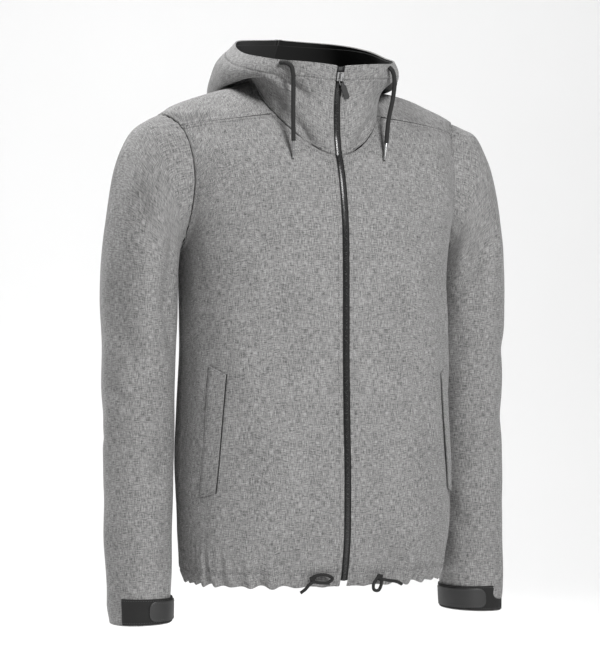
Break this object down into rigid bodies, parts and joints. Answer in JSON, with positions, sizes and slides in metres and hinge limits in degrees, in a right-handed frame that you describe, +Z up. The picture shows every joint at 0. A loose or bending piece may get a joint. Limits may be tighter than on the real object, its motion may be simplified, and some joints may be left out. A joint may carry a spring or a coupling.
{
  "type": "softshell jacket",
  "caption": "Zipped softshell jacket with a lowered hood, hood and hem drawcords, slanted hand pockets and tabbed cuffs, filled out as if worn.",
  "frame": {"origin": "middle of the neck at the height of the shoulder tops, where the wearer carries the jacket", "axes": "the front faces -Y, the wearer's left is +X, and +Z is up"},
  "size_m": [0.585, 0.3344, 0.8169],
  "materials": {
    "melange": "grey melange softshell with a brushed black back",
    "lining": "black fleece",
    "tape": "black woven tape",
    "teeth": "black coil zip",
    "cord": "black braided cord",
    "rubber": "black moulded tab, satin",
    "metal": "grey metal, polished",
    "tip": "silvery end, glossy"
  },
  "bodies": {
    "jacket": {"front_right": "melange", "front_left": "melange", "back": "melange", "sleeve_right": "melange", "sleeve_left": "melange", "hood_right": "melange", "hood_left": "melange", "welt_right": "melange", "welt_left": "melange", "hood_lining_right": "lining", "hood_lining_left": "lining", "zip_tape_right": "tape", "zip_tape_left": "tape", "cuff_band_right": "tape", "cuff_band_left": "tape", "zip_chain": "teeth", "hood_cord_right": "cord", "hood_cord_left": "cord", "hem_cord_right": "cord", "hem_cord_left": "cord", "cuff_tab_right": "rubber", "cuff_tab_left": "rubber", "zip_slider": "metal", "cord_tip_right": "tip", "cord_tip_left": "tip"},
    "zip_pull": {"zip_link": "metal", "zip_pull": "rubber"}
  },
  "joints": [
    {"name": "pull_swing", "type": "hinge", "parent": "jacket", "child": "zip_pull", "pos_m": [0, -0.13482, 0.01682], "axis": [-0.8988, 0.1509, -0.4116], "range_deg": [0, 130]}
  ]
}
